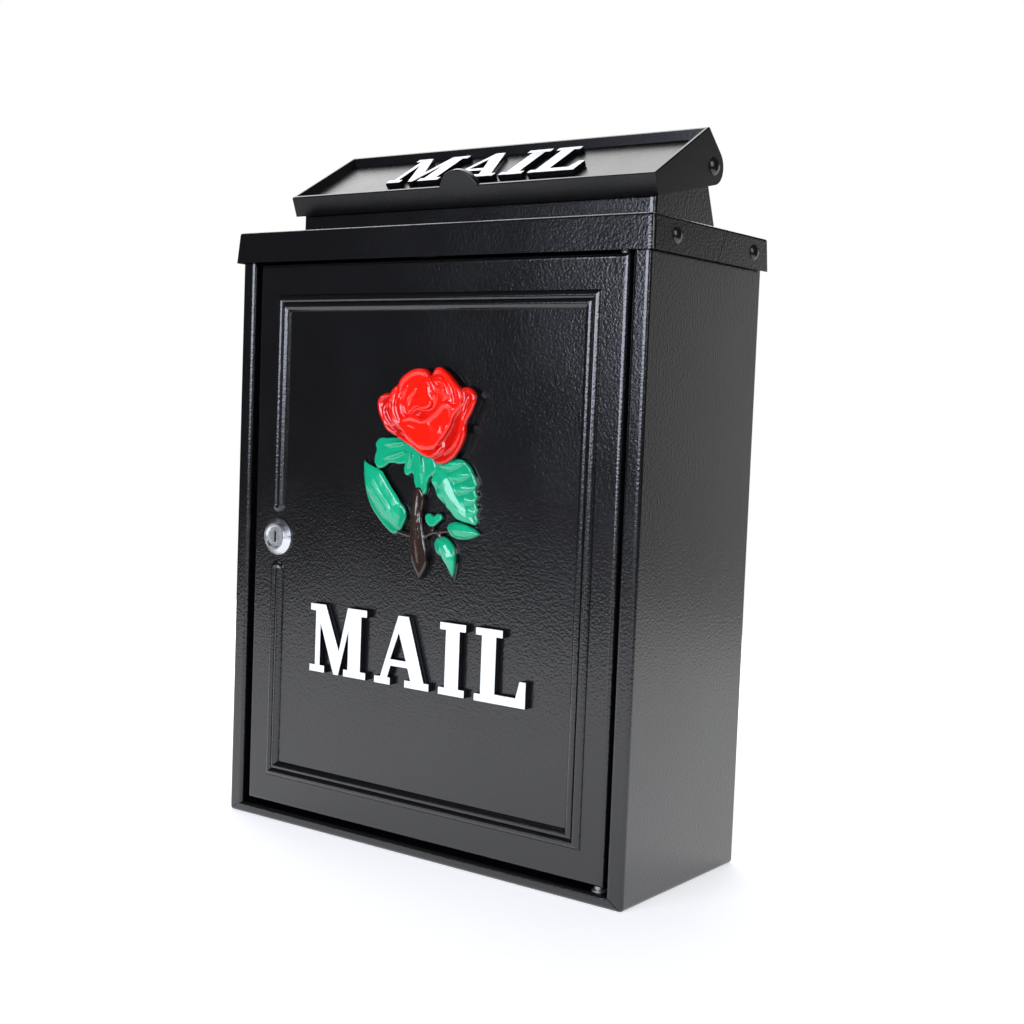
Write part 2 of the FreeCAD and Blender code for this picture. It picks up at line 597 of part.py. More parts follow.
def lock_plug():
    end = DOOR_FACE + LOCK_BARREL_LENGTH
    plug = rod(LOCK_PLUG_RADIUS, lock_point(PLUG_FACE), lock_point(end))
    drive = drive_block(DRIVE_SQUARE / 2, end, CAM_BACK)
    keyway = box(LOCK_X - KEYWAY_WIDTH / 2, LOCK_X + KEYWAY_WIDTH / 2, PLUG_FACE - OVERRUN,
                 PLUG_FACE + KEYWAY_DEPTH, LOCK_HEIGHT - KEYWAY_HEIGHT / 2, LOCK_HEIGHT + KEYWAY_HEIGHT / 2)
    screw = rod(SCREW_RADIUS, lock_point(CAM_BACK - SCREW_LENGTH), lock_point(CAM_BACK))
    return fused([plug, drive]).cut([keyway, screw])


def lock_nut():
    corner = NUT_ACROSS_FLATS / 2 / math.cos(math.pi / 6)
    hexagon = [(LOCK_X + corner * math.cos(i * math.pi / 3), LOCK_HEIGHT + corner * math.sin(i * math.pi / 3))
               for i in range(6)]
    seat = DOOR_FACE + DOOR_SHEET
    nut = front_prism(hexagon, seat, seat + NUT_THICKNESS)
    return nut.cut(rod(LOCK_BARREL_RADIUS, lock_point(seat), lock_point(seat + NUT_THICKNESS)))


def lock_cam():
    """Flat tongue on the plug's square end, hanging down while unlocked."""
    half = CAM_WIDTH / 2
    tongue = box(LOCK_X - half, LOCK_X + half, CAM_FRONT, CAM_BACK, LOCK_HEIGHT - CAM_LENGTH, LOCK_HEIGHT)
    tongue = rounded(tongue, half / 2, lambda m, e: near(m.z, LOCK_HEIGHT - CAM_LENGTH) and near(
        e.Length, CAM_THICKNESS))
    hub = rod(half, lock_point(CAM_FRONT), lock_point(CAM_BACK))
    return fused([tongue, hub]).cut(drive_block(DRIVE_SQUARE / 2, CAM_FRONT, CAM_BACK))


def cam_washer():
    return tube(CAM_WASHER_RADIUS, SCREW_RADIUS, lock_point(CAM_BACK),
                lock_point(CAM_BACK + CAM_WASHER_THICKNESS))


def cam_screw():
    under = CAM_BACK + CAM_WASHER_THICKNESS
    head = dome(SCREW_HEAD_RADIUS, SCREW_HEAD_HEIGHT, lock_point(under), Y_AXIS)
    return fused([head, rod(SCREW_RADIUS, lock_point(CAM_BACK - SCREW_LENGTH), lock_point(under))])


def rose_point(x, z, height=0.0):
    """Place on the door's face in the rose's drawing, standing out by a height."""
    return Vector(x * ROSE_UNIT, DOOR_FACE - height, ROSE_ZERO + z * ROSE_UNIT)


def blade(outline, rim, root, rim_height, root_height):
    """Plate with a smooth outline, whose top slopes from a place on its rim to its root."""
    border = Part.BSplineCurve()
    border.interpolate([rose_point(x, z) for x, z in outline], PeriodicFlag=True)
    plate = Part.Face(Part.Wire(border.toShape())).extrude(Y_AXIS * -(rim_height + OVERRUN))
    start = rose_point(*rim)
    along = rose_point(*root) - start
    length = along.Length
    along.normalize()
    across = Vector(-along.z, 0, along.x)
    reach = plate.BoundBox.DiagonalLength
    rise = (rim_height - root_height) / length
    corner = start - along * reach - across * reach
    slope = [corner, corner + along * 2 * reach,
             corner + along * 2 * reach - Y_AXIS * (rim_height - rise * reach),
             corner - Y_AXIS * (rim_height + rise * reach)]
    under = Part.Face(Part.makePolygon(slope + slope[:1])).extrude(across * 2 * reach)
    return plate.common(under)


def petal(outline, rim, root, layer):
    """Petal of the bloom; each layer towards the middle overlaps the one outside it."""
    height = BLOOM_HEIGHT + layer * PETAL_STEP
    return blade(outline, rim, root, height, height - PETAL_DIP)


def bloom():
    left_outer = petal([(-20, 112.5), (-27.5, 110), (-28, 103), (-25, 96), (-20, 90), (-12, 87.5), (-5, 90),
                        (-8, 100), (-13, 110)], (-27, 100), (-8, 102), 0)
    right_outer = petal([(33, 116.5), (38, 117), (43, 113.5), (41.5, 106), (37.5, 98), (36.8, 90), (31.5, 80),
                         (24, 74.2), (17, 73), (12, 76), (14, 84), (24, 92), (29, 106)], (38, 90), (20, 94), 0)
    low_outer = petal([(-14, 88), (-7, 85), (0, 81), (8, 77.5), (16, 77), (22, 83), (16, 90), (2, 92), (-8, 93)],
                      (4, 78), (6, 92), 0.4)
    left_inner = petal([(-15, 116.5), (-19.5, 109), (-18.5, 100), (-13, 93), (-6, 92), (-2, 100), (-4, 112),
                        (-10, 118.5)], (-19, 104), (-5, 104), 1)
    crown_right = petal([(12, 124.5), (16, 128), (22, 125.5), (29, 119.5), (34, 114), (33, 104), (24, 100),
                         (14, 106), (11, 116)], (29, 119), (16, 106), 1)
    crown_left = petal([(-11, 119), (-5, 124.5), (3, 127), (9, 125.5), (11.5, 121), (10, 110), (3, 100), (-7, 98),
                        (-12, 106)], (-7, 122), (5, 106), 2)
    cup = petal([(-10, 97), (-6, 88.5), (2, 83.5), (9, 81.5), (17, 83.5), (24, 90), (29, 100), (27, 108),
                 (18, 103), (8, 98.5), (-2, 99.5)], (9, 99), (9, 81), 2.4)
    right_inner = petal([(13, 121), (21, 121.5), (26.5, 114), (27.5, 105), (21, 101), (12, 106)],
                        (25, 116), (14, 106), 2)
    core = petal([(-8, 98), (2, 92), (14, 94), (24, 104), (20, 116), (6, 119), (-6, 112)], (20, 112), (4, 98), 1.4)
    fold = petal([(8, 121), (13.5, 121), (17, 112), (12, 104), (5, 107)], (13, 120), (9, 105), 2.8)
    heart = petal([(-4, 101.5), (2, 104.5), (9, 104), (15, 107.5), (13, 112), (6, 112), (-1, 109)],
                  (14, 108), (-2, 104), 3.2)
    return [left_outer, right_outer, low_outer, left_inner, crown_right, crown_left, cup, right_inner, core, fold,
            heart]


def leaf(foot, tip, left_swell, right_swell):
    """Pointed leaf folded to a ridge along its midrib; a swell is (share of the length, width)."""
    start = rose_point(*foot)
    end = rose_point(*tip)
    along = end - start
    length = along.Length
    along.normalize()
    left = Vector(-along.z, 0, along.x)
    sides = []
    for (share, width), side in ((left_swell, left), (right_swell, left * -1)):
        curve = Part.BSplineCurve()
        curve.interpolate([start, start + along * (share * length) + side * (width * ROSE_UNIT), end])
        sides.append(curve.toShape())
    plate = Part.Face(Part.Wire(sides)).extrude(Y_AXIS * -(LEAF_RIDGE + OVERRUN))
    widest = max(left_swell[1], right_swell[1]) * ROSE_UNIT
    border = widest + OVERRUN
    low = LEAF_RIDGE - (LEAF_RIDGE - LEAF_EDGE) * border / widest
    back = start - along * OVERRUN
    roof = [back - left * border, back + left * border, back + left * border - Y_AXIS * low,
            back - Y_AXIS * LEAF_RIDGE, back - left * border - Y_AXIS * low]
    roof = Part.Face(Part.makePolygon(roof + roof[:1])).extrude(along * (length + 2 * OVERRUN))
    return plate.common(roof)


def leaves():
    left_long = leaf((-13, 31.5), (-42.5, 71.5), (0.4, 10.3), (0.3, 12.1))
    right_long = leaf((13, 71), (44, 40), (0.45, 18.0), (0.35, 10.0))
    right_small = leaf((23.5, 36), (47, 34.5), (0.32, 4.6), (0.32, 4.8))
    low_small = leaf((18.5, 31), (28.5, 8.5), (0.43, 6.8), (0.24, 6.0))
    left_ruff = blade([(-30, 85.5), (-33, 80), (-32.5, 71), (-28.5, 68), (-22, 72), (-14, 71.3), (-8, 73),
                       (-3, 80), (-14, 86)], (-8, 80), (-32, 74), LEAF_RIDGE, LEAF_EDGE)
    low_ruff = blade([(-9.5, 72), (-10, 67), (-7.5, 64.8), (-4, 66.5), (-2, 61), (1, 56), (5, 54.3), (7, 57),
                      (8, 63), (14, 70), (6, 80), (-6, 80)], (2, 78), (5, 55), LEAF_RIDGE, LEAF_EDGE)
    heart_shaped = blade([(7, 42), (9.5, 44), (13.2, 42.6), (16.5, 44.3), (19.5, 42.5), (16.5, 39), (12, 36.3),
                          (8.5, 38)], (12, 37), (14, 44), LEAF_RIDGE, LEAF_EDGE)
    return [left_long, right_long, right_small, low_small, left_ruff, low_ruff, heart_shaped]


def twig(points, width):
    """Flat branch with rounded joints through two or more places."""
    places = [rose_point(x, z) for x, z in points]
    half = width * ROSE_UNIT / 2
    pieces = [rod(half, place, place - Y_AXIS * TWIG_HEIGHT) for place in places]
    for a, b in zip(places, places[1:]):
        along = (b - a).normalize()
        across = Vector(-along.z, 0, along.x) * half
        strip = Part.makePolygon([a - across, b - across, b + across, a + across, a - across])
        pieces.append(Part.Face(strip).extrude(Y_AXIS * -TWIG_HEIGHT))
    return pieces


def rose_stem():
    """Stem that thickens downwards and ends in a cut point."""
    left_side = [(-0.4, 58), (-3, 40), (-3.2, 22), (4.5, 5.2)]
    right_side = [(4.5, 5.2), (9.6, 17), (6, 34), (3.8, 58)]
    edges = []
    for side in (left_side, right_side):
        curve = Part.BSplineCurve()
        curve.interpolate([rose_point(x, z) for x, z in side])
        edges.append(curve.toShape())
    edges.append(Part.makeLine(rose_point(*right_side[-1]), rose_point(*left_side[0])))
    return Part.Face(Part.Wire(edges)).extrude(Y_AXIS * -STEM_HEIGHT)


def rose_ornament():
    twigs = (twig([(0, 29.5), (-14, 31.8)], 3.0) + twig([(3, 27), (11, 32.5), (25, 35)], 2.8)
             + twig([(16, 33.8), (19, 29.5)], 2.6) + twig([(11, 32.5), (12.5, 38)], 2.4))
    return fused(bloom() + leaves() + twigs + [rose_stem()])


PIECES = [body_shell, top_rail, top_cap, cap_rivets, inlet_neck, flap_lid, flap_pivots, pivot_spacers,
          door_panel, rose_ornament, hinge_pin_upper, hinge_pin_lower, hinge_washer,
          lock_body, lock_plug, lock_nut, lock_cam, cam_washer, cam_screw]

os.makedirs("parts", exist_ok=True)
for piece in PIECES:
    shape = piece()
    shape.translate(Vector(0, 0, -WALL_HOLE_HEIGHT))
    shape.exportStep(os.path.join("parts", piece.__name__ + ".step"))
    print(piece.__name__, shape.isValid(), len(shape.Solids), round(shape.Volume, 1))
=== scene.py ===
"""Looks of a wall mailbox: black powder coat, a painted cast rose, raised letters and a chromed cam lock."""
import json
import math

import bpy
from mathutils import Matrix, Vector


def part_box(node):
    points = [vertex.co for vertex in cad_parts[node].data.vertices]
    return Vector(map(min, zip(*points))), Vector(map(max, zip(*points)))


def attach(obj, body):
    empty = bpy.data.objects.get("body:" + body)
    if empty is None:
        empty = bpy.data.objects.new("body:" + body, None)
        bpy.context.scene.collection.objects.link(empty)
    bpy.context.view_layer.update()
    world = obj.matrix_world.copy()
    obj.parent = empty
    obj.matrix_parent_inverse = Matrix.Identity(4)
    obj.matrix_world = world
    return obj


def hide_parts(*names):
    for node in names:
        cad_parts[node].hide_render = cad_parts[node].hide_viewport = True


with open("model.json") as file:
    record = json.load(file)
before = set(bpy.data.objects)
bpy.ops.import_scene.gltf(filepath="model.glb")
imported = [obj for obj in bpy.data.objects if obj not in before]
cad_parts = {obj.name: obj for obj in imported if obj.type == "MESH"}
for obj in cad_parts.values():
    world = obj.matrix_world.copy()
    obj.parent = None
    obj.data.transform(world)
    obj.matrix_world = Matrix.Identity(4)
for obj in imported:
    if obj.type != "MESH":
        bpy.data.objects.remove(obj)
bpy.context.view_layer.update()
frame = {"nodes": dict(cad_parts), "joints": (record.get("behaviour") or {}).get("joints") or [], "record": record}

MM = 0.001

# Places read from the frame, in metres
LOCK_AXIS = next(Vector(joint["pos_m"]) for joint in frame["joints"] if joint["name"] == "lock_turn")
LID_AXIS = next(Vector(joint["pos_m"]) for joint in frame["joints"] if joint["name"] == "lid_hinge")
DOOR_FACE = LOCK_AXIS.y
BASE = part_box("body_shell")[0].z

# Camera of the photograph: lens for a 36 mm sensor, place in metres, angles in degrees
CAMERA_PLACE = Vector((0.5613, -0.8001, 0.0818))
CAMERA_AZIMUTH = 36.16
CAMERA_ELEVATION = 3.96
CAMERA_ROLL = 2.20
CAMERA_LENS = 53.11
SENSOR_WIDTH = 36.0

# Patterns of the finishes, in millimetres where they are sizes
NOISE_SPREAD = (0.3, 0.7)    # values between which most of a noise lies
GLOSS_CLOUD = 45.0           # patches of more and less gloss in the powder coat
SPECK_FINER = 2.5            # how much finer the coat's specks are than its peel
SPECK_SHARE = 0.25           # height of the specks as a share of the peel's
BRUSH_WAVE = 6.0             # length of the strays at a brushed colour's edge
BRUSH_WAVER = 1.2            # how far that edge strays
BRUSH_EDGE = (0.4, 0.8)      # where the colour starts and is full, over its end
PRIMER = "#0b0b0c"           # black under the enamel
ENAMEL_RIPPLE = (3.5, 0.12)  # width and height of the ripples in the enamel
PAINT_RIPPLE = (4.0, 0.08)   # the same in the letters' paint
PAINT_PATCHES = (0.8, 1.3)   # least and most roughness of a letter, as shares of its paint's
MARK_DEPTH = 0.01            # handling marks on plated metal
NYLON_SKIN = (0.8, 0.02)     # width and height of the moulded texture

# Rose, in the millimetres of its drawing; the drawing's zero is on the case's middle line
ROSE_ZERO = 160.0            # base to the drawing's zero
PETAL_STEP = 1.0             # how far a petal's face stands above the petal outside it
PETAL_DIP = 1.2              # how far a petal falls from its rim to its root
BLOOM_HEIGHT = 7.0           # face of the outermost petals
LEAF_EDGE = 3.0
LEAF_RIDGE = 5.2
STEM_HEIGHT = 5.4
TWIG_HEIGHT = 3.6
ROSE_ROOT = 1.5              # how deep the slabs run into the door before they are trimmed
ROSE_ROUND = 0.9             # rounding of a slab's edges
ROSE_FOOT = 0.8              # fillet where a wall meets the door
LIP_RADIUS = 1.6             # rolled rim of a petal
FOLD_RADIUS = 1.5            # soft folds inside the petals
FOLD_SINK = 0.5              # middle of a fold or rim under the petal's face
BELLY_RADIUS = 9.0           # swelling of the large front petal
BELLY_HEIGHT = 1.2
VEIN_RADIUS = 0.9
LOBE_RADIUS = 3.4            # soft ridges of the largest leaf
LOBE_HEIGHT = 1.5
VEIN_SINK = 0.5              # middle of a midrib under the leaf's face
SEPAL_RAISE = 0.6            # face of a sepal over the leaves' edges
RIB_SWELL = 1.8              # how much thicker a sepal's rib is than a vein
RIB_RISE = 0.5               # middle of a rib over the leaves' edges
RIB_SINK = 0.4               # end of a rib under them
BARK_RISE = 1.0              # bark over the stem's face
STEM_SOFTER = 1.4            # how much rounder the stem's edges are than a petal's
TWIG_RADIUS = 1.5
CURVE_STEPS = 8              # straight pieces between two points of a curve
CLAY_GRAIN = 0.45            # voxel size of the sculpted casting

# Door, in millimetres: how far its folded edges stand out past the solid's, which leaves narrower gaps
DOOR_RIM = 6.0               # width of the folded edge
DOOR_DRAW_LOCK = 2.2
DOOR_DRAW_HINGE = 0.9
DOOR_DRAW_BOTTOM = 1.9
DOOR_DRAW_TOP = 1.7
DOOR_WELD = 0.001            # points closer than this are merged
DOOR_CREASE = 20.0           # degrees past which an edge stays sharp

# Raised letters, in millimetres
LETTER_HEIGHT = 42.0
LETTER_DEPTH = 4.0
LETTER_ROUND = 0.5
LETTER_WELD = 0.01           # points closer than this are merged
LETTER_CREASE = 35.0         # degrees past which an edge stays sharp
WHITE_FROM = 0.3             # how far a letter's surface looks outwards where the white begins
STROKE_THICK = 10.2
STROKE_THIN = 4.6
SERIF = 4.4
DOOR_LETTER_BASE = 100.5     # base of the case to the foot of the letters
DOOR_LETTER_MIDDLE = 1.5
DOOR_LETTER_GAP = 7.0
LID_LETTER_SCALE = 0.9
LID_LETTER_GAP = 4.0
LID_LETTER_ALONG = 18.0      # front rim to the foot of the letters, up the slope
LID_TILT = 30.7              # degrees
LID_RECESS = 5.0             # rim to the sunk panel, square to the slope
LID_LETTER_DEPTH = 3.6
PIVOT_ALONG = 61.9           # front rim to the pivot, up the slope
PIVOT_BELOW = 21.9           # rim to the pivot, square to the slope

# Studio, in metres
FLOOR_SIZE = 1.8
FLOOR_MIDDLE = -0.06
FLOOR_NEAR = (0.25, 0.5)     # distance, and how white the floor looks there
FLOOR_FAR = (0.6, 1.0)
ROOM_LIGHT = 0.07            # strength of the dim room
BACKDROP_SIDE = (0.82, 0.89)  # how far a direction points backwards where the backdrop begins
BACKDROP_TOP = (0.12, 0.26)  # how far it points upwards where the backdrop ends


# Nodes and colours

def linear(code):
    """Linear colour from an sRGB hex code."""
    parts = [int(code[i:i + 2], 16) / 255 for i in (1, 3, 5)]
    return [c / 12.92 if c <= 0.04045 else ((c + 0.055) / 1.055) ** 2.4 for c in parts] + [1.0]


def add(tree, kind, inputs=None, **settings):
    """Add a node with its settings; an input is a value or another node's output."""
    node = tree.nodes.new(kind)
    for name, value in settings.items():
        setattr(node, name, value)
    for socket, value in (inputs or {}).items():
        if isinstance(value, bpy.types.NodeSocket):
            tree.links.new(value, node.inputs[socket])
        else:
            node.inputs[socket].default_value = value
    return node


def new_material(name):
    """Material without nodes, and its node tree."""
    material = bpy.data.materials.new(name)
    material.use_nodes = True
    material.node_tree.nodes.clear()
    return material, material.node_tree


def per_metre(size_mm):
    """Texture scale whose features are about this size."""
    return 1 / (size_mm * MM)


# Finishes

def powder_coat(name, colour, peel_mm, peel_height_mm, rough_low, rough_high, index=1.55):
    """Black powder coat: a baked film with orange peel, so its gloss breaks into small sparkles.

    The peel is drawn a little coarser than the real film, so that it shows.
    """
    material, tree = new_material(name)
    place = add(tree, "ShaderNodeTexCoord").outputs["Object"]
    peel = add(tree, "ShaderNodeTexNoise", {"Vector": place, "Scale": per_metre(peel_mm), "Detail": 1.0})
    speck = add(tree, "ShaderNodeTexNoise",
                {"Vector": place, "Scale": per_metre(peel_mm / SPECK_FINER), "Detail": 0.0})
    cloud = add(tree, "ShaderNodeTexNoise",
                {"Vector": place, "Scale": per_metre(GLOSS_CLOUD), "Detail": 3.0})
    rough = add(tree, "ShaderNodeMapRange", {
        "Value": cloud.outputs["Fac"], "From Min": NOISE_SPREAD[0], "From Max": NOISE_SPREAD[1],
        "To Min": rough_low, "To Max": rough_high})
    grain = add(tree, "ShaderNodeMath", {0: speck.outputs["Fac"], 1: SPECK_SHARE, 2: peel.outputs["Fac"]},
                operation="MULTIPLY_ADD")
    bump = add(tree, "ShaderNodeBump", {"Height": grain.outputs[0], "Distance": peel_height_mm * MM})
    shader = add(tree, "ShaderNodeBsdfPrincipled", {
        "Base Color": linear(colour), "Roughness": rough.outputs[0], "IOR": index, "Normal": bump.outputs[0]})
    add(tree, "ShaderNodeOutputMaterial", {"Surface": shader.outputs[0]})
    return material


def enamel(name, colour, shade, shade_heights_mm, paint_mm):
    """Hand-brushed gloss enamel on a casting, with black primer on the walls; painted shade darkens it low down in
    the hollows.

    shade_heights_mm is (low, high), the heights over the door between which the colour clears.
    paint_mm is the height at which the colour ends.
    """
    material, tree = new_material(name)
    place = add(tree, "ShaderNodeTexCoord").outputs["Object"]
    apart = add(tree, "ShaderNodeSeparateXYZ", {0: place})
    waver = add(tree, "ShaderNodeTexNoise",
                {"Vector": place, "Scale": per_metre(BRUSH_WAVE), "Detail": 2.0})
    height = add(tree, "ShaderNodeMath", {0: DOOR_FACE, 1: apart.outputs["Y"]}, operation="SUBTRACT")
    uneven = add(tree, "ShaderNodeMath", {0: waver.outputs["Fac"], 1: BRUSH_WAVER * MM, 2: height.outputs[0]},
                 operation="MULTIPLY_ADD")
    # Painted shade: the colour darkens towards the shade colour low down in the hollows, by height over the door.
    clear = add(tree, "ShaderNodeMapRange", {"Value": uneven.outputs[0], "From Min": shade_heights_mm[0] * MM,
                                             "From Max": shade_heights_mm[1] * MM})
    coat = add(tree, "ShaderNodeMix", {0: clear.outputs[0], 6: linear(shade), 7: linear(colour)},
               data_type="RGBA")
    painted = add(tree, "ShaderNodeMapRange", {
        "Value": uneven.outputs[0], "From Min": (paint_mm + BRUSH_EDGE[0]) * MM,
        "From Max": (paint_mm + BRUSH_EDGE[1]) * MM})
    colours = add(tree, "ShaderNodeMix", {0: painted.outputs[0], 6: linear(PRIMER), 7: coat.outputs[2]},
                  data_type="RGBA")
    ripple = add(tree, "ShaderNodeTexNoise",
                 {"Vector": place, "Scale": per_metre(ENAMEL_RIPPLE[0]), "Detail": 1.0})
    bump = add(tree, "ShaderNodeBump",
               {"Height": ripple.outputs["Fac"], "Distance": ENAMEL_RIPPLE[1] * MM, "Strength": 0.6})
    shader = add(tree, "ShaderNodeBsdfPrincipled", {
        "Base Color": colours.outputs[2], "Roughness": 0.12, "IOR": 1.5, "Normal": bump.outputs[0]})
    add(tree, "ShaderNodeOutputMaterial", {"Surface": shader.outputs[0]})
    return material


def gloss_paint(name, colour, rough):
    """Brushed gloss paint on a letter: a little uneven, so its shine wavers."""
    material, tree = new_material(name)
    place = add(tree, "ShaderNodeTexCoord").outputs["Object"]
    ripple = add(tree, "ShaderNodeTexNoise",
                 {"Vector": place, "Scale": per_metre(PAINT_RIPPLE[0]), "Detail": 2.0})
    patch = add(tree, "ShaderNodeMapRange", {
        "Value": ripple.outputs["Fac"], "To Min": rough * PAINT_PATCHES[0],
        "To Max": rough * PAINT_PATCHES[1]})
    bump = add(tree, "ShaderNodeBump",
               {"Height": ripple.outputs["Fac"], "Distance": PAINT_RIPPLE[1] * MM, "Strength": 0.5})
    shader = add(tree, "ShaderNodeBsdfPrincipled", {
        "Base Color": linear(colour), "Roughness": patch.outputs[0], "IOR": 1.5, "Normal": bump.outputs[0]})
    add(tree, "ShaderNodeOutputMaterial", {"Surface": shader.outputs[0]})
    return material


def plated_metal(name, colour, rough_low, rough_high, scratch_mm):
    """Plated metal: polished, with fine handling marks that spread the shine."""
    material, tree = new_material(name)
    place = add(tree, "ShaderNodeTexCoord").outputs["Object"]
    marks = add(tree, "ShaderNodeTexNoise", {"Vector": place, "Scale": per_metre(scratch_mm), "Detail": 4.0})
    rough = add(tree, "ShaderNodeMapRange", {
        "Value": marks.outputs["Fac"], "From Min": NOISE_SPREAD[0], "From Max": NOISE_SPREAD[1],
        "To Min": rough_low, "To Max": rough_high})
    bump = add(tree, "ShaderNodeBump",
               {"Height": marks.outputs["Fac"], "Distance": MARK_DEPTH * MM, "Strength": 0.4})
    shader = add(tree, "ShaderNodeBsdfPrincipled", {
        "Base Color": linear(colour), "Metallic": 1.0, "Roughness": rough.outputs[0],
        "Normal": bump.outputs[0]})
    add(tree, "ShaderNodeOutputMaterial", {"Surface": shader.outputs[0]})
    return material


def moulded_nylon(name):
    """Moulded black nylon: a dull satin skin with a faint spark texture."""
    material, tree = new_material(name)
    place = add(tree, "ShaderNodeTexCoord").outputs["Object"]
    skin = add(tree, "ShaderNodeTexNoise",
               {"Vector": place, "Scale": per_metre(NYLON_SKIN[0]), "Detail": 2.0})
    bump = add(tree, "ShaderNodeBump", {"Height": skin.outputs["Fac"], "Distance": NYLON_SKIN[1] * MM})
    shader = add(tree, "ShaderNodeBsdfPrincipled", {
        "Base Color": linear("#1b1b1c"), "Roughness": 0.5, "IOR": 1.53, "Normal": bump.outputs[0]})
    add(tree, "ShaderNodeOutputMaterial", {"Surface": shader.outputs[0]})
    return material


case_coat = powder_coat("black_powder_coat", "#0a0a0c", peel_mm=1.5, peel_height_mm=0.12,
                        rough_low=0.18, rough_high=0.23)
lid_coat = powder_coat("black_coat_on_casting", "#0b0b0c", peel_mm=1.6, peel_height_mm=0.03,
                       rough_low=0.24, rough_high=0.30, index=1.38)
rivet_coat = powder_coat("black_lacquered_rivet", "#0c0c0d", peel_mm=1.0, peel_height_mm=0.010,
                         rough_low=0.20, rough_high=0.28)
nylon = moulded_nylon("moulded_black_nylon")
zinc = plated_metal("zinc_plated_steel", "#8e8f8d", rough_low=0.40, rough_high=0.55, scratch_mm=1.5)
chrome = plated_metal("chrome_plated_zinc", "#c6c7cb", rough_low=0.26, rough_high=0.36, scratch_mm=2.5)
# Each enamel has painted shade: its darker colour lies low down in the casting's hollows.
red_enamel = enamel("red_gloss_enamel", "#f01a0a", "#b80c06", shade_heights_mm=(6.6, 9.4), paint_mm=5.4)
green_enamel = enamel("green_gloss_enamel", "#12a878", "#0b7f58", shade_heights_mm=(2.4, 4.6), paint_mm=1.6)
stem_enamel = enamel("brown_gloss_enamel", "#33241c", "#120d0b", shade_heights_mm=(2.4, 5.8), paint_mm=1.0)
white_paint = gloss_paint("white_gloss_paint", "#f2f2f0", rough=0.25)
black_paint = gloss_paint("black_gloss_paint", "#0b0b0c", rough=0.22)

NODE_FINISH = {
    "black_coat": case_coat, "lid_casting": lid_coat, "black_rivet": rivet_coat, "nylon": nylon,
    "steel": zinc, "lock_chrome": chrome, "enamel": red_enamel}

for part in frame["record"]["subparts"]:
    mesh = frame["nodes"][part["node"]].data
    mesh.materials.clear()
    mesh.materials.append(NODE_FINISH[part["material_slot"]])


# Modelling helpers

def only(*objects):
    """Select these objects alone; the first is active."""
    bpy.ops.object.select_all(action="DESELECT")
    for item in objects:
        item.select_set(True)
    bpy.context.view_layer.objects.active = objects[0]


def joined(objects, name):
    """Join objects into the first of them, under a new name."""
    only(*objects)
    bpy.ops.object.join()
    objects[0].name = name
    objects[0].data.name = name
    return objects[0]


def modified(item, kind, **settings):
    """Add a modifier, set it and apply it."""
    only(item)
    bpy.ops.object.modifier_add(type=kind)
    modifier = item.modifiers[-1]
    for name, value in settings.items():
        setattr(modifier, name, value)
    bpy.ops.object.modifier_apply(modifier=modifier.name)


def flat_slab(name, outlines, low, high, rounding, grow=0.0, smooth=True):
    """Slab from closed outlines in millimetres, lying flat between two heights, as a mesh.

    A third item makes a point of a smooth outline a sharp corner.
    """
    curve = bpy.data.curves.new(name, "CURVE")
    curve.dimensions = "2D"
    curve.fill_mode = "BOTH"
    curve.resolution_u = CURVE_STEPS
    for outline in outlines:
        spline = curve.splines.new("BEZIER" if smooth else "POLY")
        points = spline.bezier_points if smooth else spline.points
        points.add(len(outline) - 1)
        for point, (x, z, *corner) in zip(points, outline):
            point.co = (x * MM, z * MM, 0) if smooth else (x * MM, z * MM, 0, 1)
            if smooth:
                point.handle_left_type = point.handle_right_type = "VECTOR" if corner else "AUTO"
        spline.use_cyclic_u = True
    curve.extrude = ((high - low) / 2 - rounding) * MM
    curve.bevel_depth = rounding * MM
    curve.bevel_resolution = 2
    curve.offset = (grow - rounding) * MM
    slab = bpy.data.objects.new(name, curve)
    bpy.context.collection.objects.link(slab)
    only(slab)
    bpy.ops.object.convert(target="MESH")
    slab.data.transform(Matrix.Translation((0, 0, (low + high) / 2 * MM)))
    return slab


def soft_rod(name, points, radius, ends=0.35):
    """Round rod through (x, z, height) points in millimetres, thinner at its ends, as a mesh."""
    curve = bpy.data.curves.new(name, "CURVE")
    curve.dimensions = "3D"
    curve.resolution_u = CURVE_STEPS
    spline = curve.splines.new("BEZIER")
    spline.bezier_points.add(len(points) - 1)
    for i, (point, (x, z, height)) in enumerate(zip(spline.bezier_points, points)):
        point.co = (x * MM, z * MM, height * MM)
        point.handle_left_type = point.handle_right_type = "AUTO"
        point.radius = ends if i in (0, len(points) - 1) else 1.0
    curve.bevel_depth = radius * MM
    curve.bevel_resolution = 3
    curve.use_fill_caps = True
    rod = bpy.data.objects.new(name, curve)
    bpy.context.collection.objects.link(rod)
    only(rod)
    bpy.ops.object.convert(target="MESH")
    return rod


def dome(points, radius, height, level):
    """Flat swelling along (x, z) points, which stands this high over a level."""
    swelling = soft_rod("dome", [(x, z, 0) for x, z in points], radius, ends=0.1)
    flatten = Matrix.Diagonal((1, 1, height / radius, 1))
    swelling.data.transform(Matrix.Translation((0, 0, level * MM)) @ flatten)
    return swelling


def tilted(slab, rim, root, rim_height, root_height):
    """Lean a flat slab so that its top falls from a place on its rim to its root."""
    start = Vector((rim[0], rim[1], rim_height)) * MM
    along = Vector((root[0] - rim[0], root[1] - rim[1], 0)) * MM
    angle = math.atan2((rim_height - root_height) * MM, along.length)
    axis = Vector((0, 0, 1)).cross(along)
    turn = Matrix.Translation(start) @ Matrix.Rotation(angle, 4, axis) @ Matrix.Translation(-start)
    slab.data.transform(turn)
    return slab


# Door

